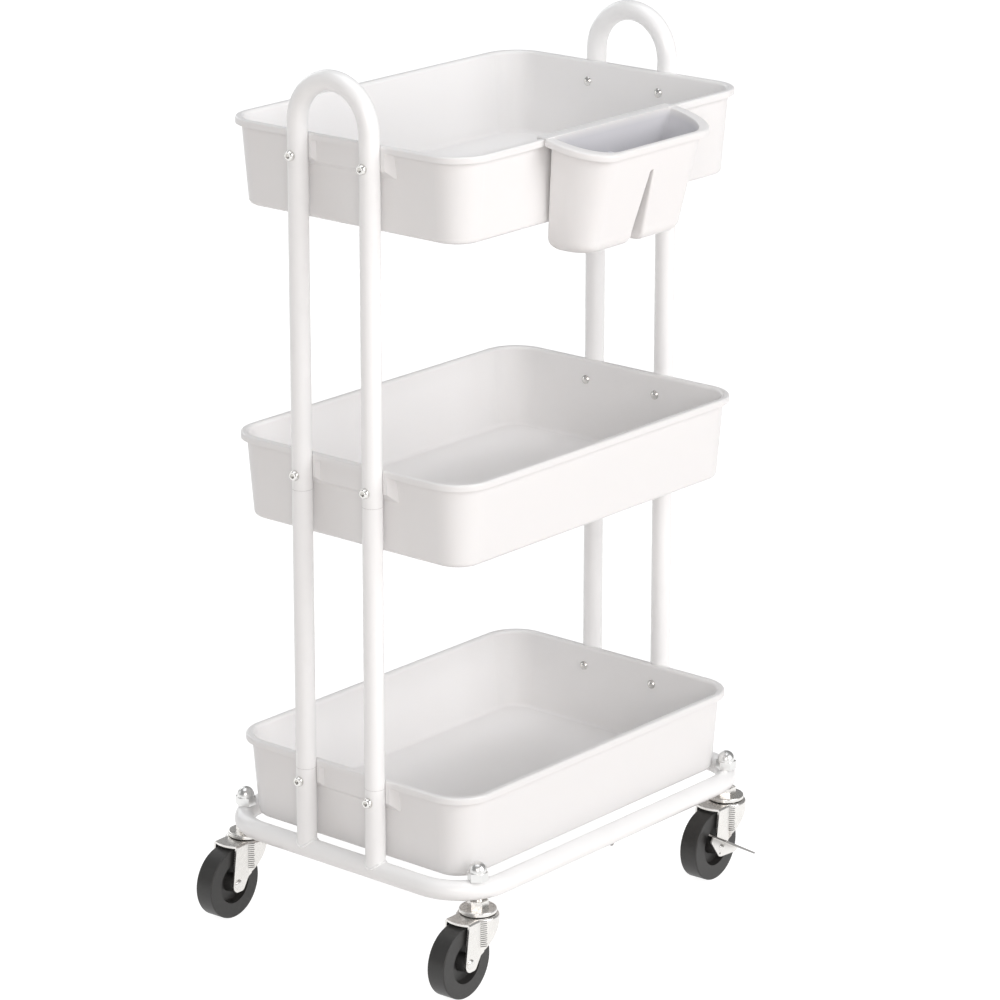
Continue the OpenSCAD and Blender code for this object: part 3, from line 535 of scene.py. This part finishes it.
def link(name, mesh_points, faces, material, smooth_angle=40.0, inside=None):
    """Makes an object from points in metres, merges points that fall together, turns the faces
    outwards and smooths all edges below an angle. inside is one number for each point."""
    mesh = bpy.data.meshes.new(name)
    mesh.from_pydata(mesh_points.tolist(), [], faces.tolist())
    if inside is not None:
        mesh.attributes.new("inside", "FLOAT", "POINT").data.foreach_set("value", inside)
    work = bmesh.new()
    work.from_mesh(mesh)
    bmesh.ops.remove_doubles(work, verts=work.verts, dist=merge_distance)
    bmesh.ops.dissolve_degenerate(work, edges=work.edges, dist=degenerate_distance)
    bmesh.ops.recalc_face_normals(work, faces=work.faces)
    for face in work.faces:
        face.smooth = True
    limit = math.radians(smooth_angle)
    for edge in work.edges:
        edge.smooth = len(edge.link_faces) == 2 and edge.calc_face_angle(0.0) < limit
    work.to_mesh(mesh)
    work.free()
    mesh.materials.append(material)
    piece = bpy.data.objects.new(name, mesh)
    bpy.context.scene.collection.objects.link(piece)
    return piece

def grid_faces(count_rows, count_columns, keep=None):
    """Quads of a grid whose points are listed row by row. keep is a mask of (rows - 1,
    columns - 1), or None for all of them."""
    at = np.arange(count_rows * count_columns).reshape(count_rows, count_columns)
    quads = np.stack([at[:-1, :-1], at[:-1, 1:], at[1:, 1:], at[1:, :-1]], -1)
    return quads.reshape(-1, 4) if keep is None else quads[keep]

print("surface helpers ready")

# %% Join the cup's points into one closed surface
shade_fade = 0.08
turn_round = (-1, -1, 1)

def hanging_cup():
    """Half the cup as a grid, its mirror image, and both turned to face the tray."""
    f, grow = rows[:, 1], rows[:, 2]
    slotted = f >= slot_top(grow) - 1e-9
    keep = np.ones((len(rows) - 1, columns - 1), bool)
    keep[:, slot_from + lip_steps:] = (slotted[:-1] & slotted[1:])[:, None]
    quads = grid_faces(len(rows), columns, keep)
    right = skin(rows).reshape(-1, 3)
    left = right * (-1, 1, 1)
    both = np.concatenate([right, left]) * turn_round + cup_origin
    return both, np.concatenate([quads, quads[:, ::-1] + len(right)])

shell_points, shell_faces = hanging_cup()
# painted shade on the cup's inner walls and floor, fading in over the top of the inner wall below the
# rim
on_inner_wall = np.where(rows[:, 2] > 0, np.clip(rows[:, 1] / shade_fade, 0, 1), 0)
shade_points = np.tile(np.repeat(on_inner_wall, columns), 2)
cup_shell = link("cup_shell", shell_points, shell_faces, cup_plastic, inside=shade_points)
print("cup shell:", len(cup_shell.data.polygons), "faces")

# %% [markdown]
# The cup is held by a turned-down strip behind its rim, which drops over the tray's edge. The strip
# is one closed outline, seen from the cup's end, carried along the cup's back. Behind the slot, the
# cup's back wall runs on as a thin leaning plate that ties the two pockets together.

# %% Hook behind the rim
def rounded_outline(corners, radii, steps=6):
    """Closed outline whose corners become arcs: each arc is a quadratic curve between its two
    tangent points with the corner as its handle."""
    corners = np.array(corners, float)
    radii = np.array(radii, float)[:, None]
    before = np.roll(corners, 1, 0) - corners
    after = np.roll(corners, -1, 0) - corners
    start = corners + before / np.linalg.norm(before, axis=1)[:, None] * radii
    end = corners + after / np.linalg.norm(after, axis=1)[:, None] * radii
    t = np.linspace(0, 1, steps)[None, :, None]
    arcs = ((1 - t) ** 2 * start[:, None] + 2 * t * (1 - t) * corners[:, None]
            + t ** 2 * end[:, None])
    return arcs.reshape(-1, 2)

def carried(outline, x_places, scale):
    """The outline (y, z) carried along x. scale draws each section in towards its middle, so the
    first and last sections close the ends; x is constant over a section."""
    centre = outline.mean(0)
    section = centre + (outline - centre)[None] * np.asarray(scale)[:, None, None]
    x = np.broadcast_to(np.asarray(x_places)[:, None, None], section.shape[:2] + (1,))
    points = np.concatenate([x, section], -1)
    closed = np.concatenate([points, points[:, :1]], 1)
    return closed.reshape(-1, 3), grid_faces(closed.shape[0], closed.shape[1])

hook_leg, hook_thick, hook_drop, hook_half = 0.0084, 0.0013, -0.0045, 0.0902
hook_under, hook_top = 0.00025, 0.00155
hook_root = back_plane(rim_raise) + cup_wall
hook_back = -hook_leg - hook_thick
hook_outline = rounded_outline(
    [(hook_root, hook_under), (hook_root, hook_top), (hook_back, hook_top),
     (hook_back, hook_drop), (-hook_leg, hook_drop), (-hook_leg, hook_under)],
    [0.0003, 0.0003, 0.0018, 0.0006, 0.0006, 0.0009])
end_places = np.array([0.0, 0.0, 0.00015, 0.0004])
end_scales = [0, 0.96, 0.985, 1]
hook_x = np.concatenate([-hook_half + end_places, (hook_half - end_places)[::-1]])
hook_points, hook_faces = carried(hook_outline, hook_x, end_scales + end_scales[::-1])
cup_hook = link("cup_hook", hook_points * turn_round + cup_origin, hook_faces, cup_plastic)
print("hook:", len(cup_hook.data.polygons), "faces")

# %% Back plate, and all three on the cup's body
plate_top, plate_lift, plate_skin = -0.024, 0.0012, 0.0001
plate_half, plate_spread = 0.0025, 0.0060

def back_plate():
    """A leaning plate: height runs down the back plane, the section is a rectangle that widens on
    its way down, and the first and last sections shrink to a point to close the ends."""
    down = np.linspace(plate_top, foot_round - plate_lift - cup_depth, 20)
    half = plate_half + plate_spread * (down - down[0]) / (down[-1] - down[0])
    ring = np.array([(-1, 0), (1, 0), (1, 1), (-1, 1), (-1, 0)], float)
    x = half[:, None] * ring[None, :, 0]
    deep = (cup_wall - 2 * plate_skin) * ring[None, :, 1]
    y = back_plane(down)[:, None] + plate_skin + deep
    body = np.stack([x, y, np.broadcast_to(down[:, None], x.shape)], -1)
    centre = body[:, :4].mean(1, keepdims=True)
    top = np.repeat(centre[:1], len(ring), 1)
    foot = np.repeat(centre[-1:], len(ring), 1)
    grid = np.concatenate([top, body, foot])
    return grid.reshape(-1, 3), grid_faces(len(grid), len(ring))

plate_points, plate_faces = back_plate()
cup_plate = link("cup_back_plate", plate_points * turn_round + cup_origin, plate_faces, cup_plastic)

for piece in (cup_shell, cup_hook, cup_plate):
    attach(piece, "hanging_cup")
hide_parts("cup")
print("back plate:", len(cup_plate.data.polygons), "faces")

# %% [markdown]
# ## Weld beads where the posts stand on the base loop
# Each stub post is cut to a saddle and welded to the loop, and the paint runs over the bead. Two
# tubes of one size meet in a saddle curve. With a the angle round the post, the curve is the post's
# circle lifted by the height of the loop's tube there. A small round section carried along that
# curve, with a slow ripple in its size, reads as a bead.

# %% Carry a round section along a closed curve
def bead(centres, sizes, around=10):
    """Points centre + size * (cos b * outward + sin b * across) for angle b round the section.
    Outward is square to the path and across completes the frame. Both ends meet."""
    along = np.roll(centres, -1, 0) - np.roll(centres, 1, 0)
    along /= np.linalg.norm(along, axis=1)[:, None]
    outward = centres - centres.mean(0)
    outward -= (outward * along).sum(1)[:, None] * along
    outward /= np.linalg.norm(outward, axis=1)[:, None]
    across = np.cross(along, outward)
    b = np.linspace(0, 2 * np.pi, around + 1)[None, :, None]
    section = np.cos(b) * outward[:, None] + np.sin(b) * across[:, None]
    rings = centres[:, None] + sizes[:, None, None] * section
    rings = np.concatenate([rings, rings[:1]])
    return rings.reshape(-1, 3), grid_faces(len(rings), around + 1)

def gather(shapes):
    """Joins several (points, faces) pairs into one."""
    starts = np.cumsum([0] + [len(points) for points, faces in shapes])[:-1]
    shifted = [faces + start for (points, faces), start in zip(shapes, starts)]
    return np.concatenate([points for points, faces in shapes]), np.concatenate(shifted)

post_names = ["post_left_front", "post_left_back", "post_right_front", "post_right_back"]
post_feet = [box_middle(name) for name in post_names]
loop_height = loop_low[2] + tube_radius
bead_size, bead_ripple, bead_grain, bead_out = 0.0012, 0.00012, 0.00008, 0.0002
bead_steps, cope_share = 96, 0.93

def post_bead(foot):
    """Saddle curve of a post on the loop, whose tube runs along y under the post: at angle a round
    the post the loop's tube is r * sqrt(1 - cope_share * cos(a)^2) high. The bead's size has 17
    waves round the post, and 29 finer ones."""
    a = np.linspace(0, 2 * np.pi, bead_steps, endpoint=False)
    reach = tube_radius + bead_out
    saddle = np.sqrt(tube_radius ** 2 * (1 - cope_share * np.cos(a) ** 2))
    centres = np.stack(
        [foot[0] + reach * np.cos(a), foot[1] + reach * np.sin(a), loop_height + saddle], -1)
    return bead(centres, bead_size + bead_ripple * np.sin(17 * a) + bead_grain * np.sin(29 * a))

weld_points, weld_faces = gather([post_bead(foot) for foot in post_feet])
welds = link("post_welds", weld_points, weld_faces, enamel, smooth_angle=60.0)
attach(welds, "cart")
print("four weld beads:", len(welds.data.polygons), "faces")

# %% [markdown]
# ## Joint lines
# Each post plugs in with a necked end, and a hair-thin grey line shows where the two tubes butt. A
# very thin ring, standing four hundredths of a millimetre proud, draws that line from every side.

# %% Rings at the tube joints
ring_sunk, ring_half_deep, ring_half_high = 0.0002, 0.00024, 0.0002
ring_around, ring_across = 65, 9
stub_height = 0.0803

def joint_ring(foot, height):
    """Ring of an oval section: radius is tube_radius - ring_sunk + ring_half_deep * cos b, and
    height is height + ring_half_high * sin b."""
    a = np.linspace(0, 2 * np.pi, ring_around)[:, None]
    b = np.linspace(0, 2 * np.pi, ring_across)[None, :]
    r = tube_radius - ring_sunk + ring_half_deep * np.cos(b)
    grid = np.stack([foot[0] + r * np.cos(a), foot[1] + r * np.sin(a),
                     height + ring_half_high * np.sin(b) + 0 * a], -1)
    return grid.reshape(-1, 3), grid_faces(ring_around, ring_across)

def shadow_line():
    finish = Finish("joint_shadow")
    dust = finish.noise(900.0, detail=2.0)
    return finish.set(
        Base_Color=finish.blend(dust, rgb(0.36, 0.355, 0.35), rgb(0.50, 0.49, 0.48)),
        Roughness=0.6 + dust * 0.2)

joint_low = loop_height + stub_height
joint_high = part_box("handle_left")[0][2]
ring_points, ring_faces = gather(
    [joint_ring(foot, height) for foot in post_feet for height in (joint_low, joint_high)])
joint_rings = link("tube_joint_lines", ring_points, ring_faces, shadow_line())
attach(joint_rings, "cart")
print("joint lines at", round(joint_low, 4), round(joint_high, 4))

# %% [markdown]
# ## Pressed rungs on the fork's shoulders
# Between each leg and the round back of a fork, the sheet turns through a narrow slanted strip. The
# press leaves a ladder of short ribs there, which stiffens the bend. Each rung is a flattened
# superellipsoid: a ball whose sines and cosines are raised to a small power, so that it fills its
# box. It is wrapped round the fork's back and sunk halfway into the sheet.

# %% Lay out one caster's own axes
def caster_axes(tag):
    """Origin on the swivel axis at the floor, x along the trail, y along the axle, and the hub."""
    swivel = box_middle("stud_" + tag)
    hub = box_middle("bush_" + tag)
    trail = hub[:2] - swivel[:2]
    x = np.array([*trail, 0.0]) / np.linalg.norm(trail)
    y = np.cross((0.0, 0.0, 1.0), x)
    return np.array([*swivel[:2], 0.0]), x, y, hub

squareness = 0.55

def signed_power(value):
    return np.sign(value) * np.abs(value) ** squareness

def rung(length, thick, proud):
    """Superellipsoid (a, b, c): each is a signed power of a sine or cosine times its half-size."""
    p = np.linspace(-np.pi / 2, np.pi / 2, 9)[:, None]
    q = np.linspace(0, 2 * np.pi, 9)[None, :]
    belly = np.abs(np.cos(p)) ** squareness
    a = length / 2 * signed_power(np.sin(p)) + 0 * q
    b = thick / 2 * belly * signed_power(np.sin(q))
    c = proud * belly * signed_power(np.cos(q))
    return a, b, c

def wrap(origin, x, y, radius, angle, height, shape):
    """Bends a shape round the upright line at origin: origin + (radius + c) * (cos t * x + sin t * y)
    at height + b, with t = angle + a / radius. The sign of angle picks the side."""
    a, b, c = shape
    t = angle + np.sign(angle) * a / radius
    flat = (radius + c)[..., None] * (np.cos(t)[..., None] * x + np.sin(t)[..., None] * y)
    grid = origin + flat + (height + b)[..., None] * np.array([0, 0, 1.0])
    return grid.reshape(-1, 3), grid_faces(*a.shape)

print("left front caster's hub at", caster_axes("lf")[3])

# %% Press the rungs
# The rungs' dark grey is painted shade, standing in for the shadows between the pressed ribs.
rung_zinc = plated("rung_zinc", rgb(0.34, 0.33, 0.32), rgb(0.16, 0.155, 0.15), 0.30, 0.16, 0.00004)
tags = ["lf", "lb", "rf", "rb"]

back_radius, shoulder = 0.01962, math.radians(53.0)
rung_first, rung_pitch = 0.0464, 0.0020
rung_length, rung_swing, swing_rate = 0.0068, 0.0007, 2.3
rung_thick, rung_proud = 0.0011, 0.00034
rung_number = np.arange(13)
rung_heights = rung_first + rung_pitch * rung_number
rung_lengths = rung_length + rung_swing * np.sin(swing_rate * rung_number)

def fork_rungs(tag):
    """Both ladders of one fork. The lengths vary a little, as pressed ribs do."""
    origin, x, y = caster_axes(tag)[:3]
    return gather([
        wrap(origin, x, y, back_radius, side * shoulder, height, rung(length, rung_thick, rung_proud))
        for side in (-1, 1) for height, length in zip(rung_heights, rung_lengths)])

for tag in tags:
    rung_points, rung_faces = fork_rungs(tag)
    rungs = link("fork_rungs_" + tag, rung_points, rung_faces, rung_zinc, smooth_angle=60.0)
    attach(rungs, "swivel_" + tag)
print("rungs on four forks,", len(rung_faces), "faces each")

# %% [markdown]
# ## Peened axle heads
# Each axle is a rivet whose end is hammered into a low dome over the leg. The dome is a surface of
# revolution about the axle: an arc from the crown to the edge, a short wall and a flat underside
# that is let into the leg.

# %% Turn the axle heads
dome_around = 33

def dome(centre, axis, side, radius, height, sunk):
    """Revolved profile (r, h): r = radius * sin e, h = height * cos e for e from 0 to 90 degrees,
    then a wall down to -sunk and the middle of the underside. side is square to the axis."""
    e = np.radians(np.linspace(0, 90, 9))
    r = np.concatenate([radius * np.sin(e), [radius, 0.0]])
    h = np.concatenate([height * np.cos(e), [-sunk, -sunk]])
    turn = np.linspace(0, 2 * np.pi, dome_around)[None, :, None]
    spoke = np.cos(turn) * side + np.sin(turn) * np.cross(axis, side)
    grid = centre + h[:, None, None] * axis + r[:, None, None] * spoke
    return grid.reshape(-1, 3), grid_faces(len(r), dome_around)

leg_face = 0.0140
head_radius, head_height, head_sunk = 0.0048, 0.0021, 0.0002

def axle_head(tag):
    x, y, hub = caster_axes(tag)[1:]
    return dome(hub + leg_face * y, y, x, head_radius, head_height, head_sunk)

for tag in ("lf", "lb"):
    head_points, head_faces = axle_head(tag)
    head = link("axle_dome_" + tag, head_points, head_faces, nickel, smooth_angle=35.0)
    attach(head, "swivel_" + tag)
print("two peened axle heads,", len(head_faces), "faces each")

# %% [markdown]
# The same dome, in dark steel and upside down, is the head of the rivet under the front rail.

# %% Head of the rail's rivet
rivet_radius, rivet_height, rivet_sunk = 0.0024, 0.0034, 0.0004
downwards = np.array([0, 0, -1.0])
sideways = np.array([1.0, 0, 0])
rail_foot = np.array([middle[0], loop_low[1] + tube_radius, loop_low[2]])
plug_points, plug_faces = dome(
    rail_foot, downwards, sideways, rivet_radius, rivet_height, rivet_sunk)
plug = link("rail_rivet_head", plug_points, plug_faces, dark_steel, smooth_angle=35.0)
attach(plug, "cart")
print("rivet head under the front rail at", rail_foot)

# %% [markdown]
# ## Floor
# The picture is a catalogue cut-out: pure white all round, with very soft light. The floor is a
# large sheet with two looks. The camera, and any reflection in the metals, sees a dim sheet that
# glows, so it is white and still takes a faint shadow. All other light meets plain matt paint, a
# little warm, and bounces up from it under the trays.

# %% Lay the floor
def sheet_floor(half, height):
    """A square of side 2 * half at one height: x and y run over the grid, z is constant."""
    edge = np.linspace(-half, half, 3)
    gx, gy = np.meshgrid(edge, edge, indexing="ij")
    points = np.stack([gx, gy, np.full_like(gx, height)], -1).reshape(-1, 3)
    mesh = bpy.data.meshes.new("floor_sheet")
    mesh.from_pydata(points.tolist(), [], grid_faces(3, 3)[:, ::-1].tolist())
    sheet = bpy.data.objects.new("floor_sheet", mesh)
    bpy.context.scene.collection.objects.link(sheet)
    return sheet

def either_ray(graph, first, second):
    """1 for the two kinds of ray named, and 0 for all others."""
    return graph.node("ShaderNodeMath", {"operation": "MAXIMUM"}, {
        0: graph.node("ShaderNodeLightPath", {}, {}, first),
        1: graph.node("ShaderNodeLightPath", {}, {}, second)})

def shadow_white():
    material = bpy.data.materials.new("shadow_white")
    graph = Graph(material)
    plain = graph.node("ShaderNodeBsdfDiffuse", {}, {"Color": rgb(0.80, 0.765, 0.745)})
    shade = graph.node("ShaderNodeBsdfDiffuse", {}, {"Color": rgb(0.30, 0.30, 0.30)})
    glow = graph.node("ShaderNodeEmission", {}, {"Strength": 0.92})
    both = graph.node("ShaderNodeAddShader", {}, {0: shade, 1: glow})
    seen = either_ray(graph, "Is Camera Ray", "Is Glossy Ray")
    pick = graph.node("ShaderNodeMixShader", {}, {0: seen, 1: plain, 2: both})
    graph.node("ShaderNodeOutputMaterial", {}, {"Surface": pick})
    return material

floor = sheet_floor(12.0, 0.0)
floor.data.materials.append(shadow_white())
print("floor at height 0")

# %% [markdown]
# ## Light
# Five square soft boxes light the cart. The key stands before the long side, which is why the long
# sides are bright and the short sides grey. A second one hangs overhead, a third, a little warm,
# stands behind the camera, and two beyond the cart lift its edges. A lamp shines along its own -z
# axis, so its axes are worked out from its aim with two cross products.

# %% Hang the soft boxes
def soft_box(name, place, aim, size, power, colour):
    lamp = bpy.data.lights.new(name, "AREA")
    lamp.shape = "RECTANGLE"
    lamp.size = size
    lamp.size_y = size
    lamp.energy = power
    lamp.color = colour
    box = bpy.data.objects.new(name, lamp)
    bpy.context.scene.collection.objects.link(box)
    back = np.array(place) - np.array(aim)
    back /= np.linalg.norm(back)
    side = np.cross((0.0, 0.0, 1.0), back)
    side /= np.linalg.norm(side)
    up = np.cross(back, side)
    box.matrix_world = Matrix(
        [[side[i], up[i], back[i], place[i]] for i in range(3)] + [[0, 0, 0, 1]])
    return box

boxes = [
    soft_box("key_box", (0.6, -4.9, 2.5), (0.0, 0.0, 0.35), 3.6, 163.0, (1.0, 0.988, 0.99)),
    soft_box("top_box", (-0.3, 0.4, 6.0), (0.0, 0.0, 0.3), 4.4, 106.0, (0.965, 0.98, 1.0)),
    soft_box("near_box", (-4.3, -3.4, 2.3), (0.0, 0.0, 0.4), 2.6, 84.0, (1.0, 0.955, 0.925)),
    soft_box("side_box", (-1.8, 3.0, 1.2), (0.0, 0.0, 0.4), 1.6, 9.0, (0.98, 0.99, 1.0)),
    soft_box("back_box", (1.6, 4.6, 2.2), (0.0, 0.0, 0.4), 3.0, 46.0, (0.98, 0.99, 1.0))]
print(len(boxes), "soft boxes")

# %% [markdown]
# The world fills the shadows with an even grey. Where the camera looks past the floor, it sees
# plain white instead.

# %% Fill the room
def white_room():
    world = bpy.data.worlds.new("white_room")
    graph = Graph(world)
    room = graph.node("ShaderNodeBackground", {}, {"Color": rgb(0.8, 0.8, 0.8), "Strength": 0.36})
    white = graph.node("ShaderNodeBackground", {}, {"Color": rgb(1.0, 1.0, 1.0), "Strength": 1.0})
    seen = either_ray(graph, "Is Camera Ray", "Is Transmission Ray")
    pick = graph.node("ShaderNodeMixShader", {}, {0: seen, 1: room, 2: white})
    graph.node("ShaderNodeOutputWorld", {}, {"Surface": pick})
    return world

bpy.context.scene.world = white_room()
bpy.context.scene.view_settings.view_transform = "Standard"
print("white room,", len(bpy.context.scene.world.node_tree.nodes), "nodes")
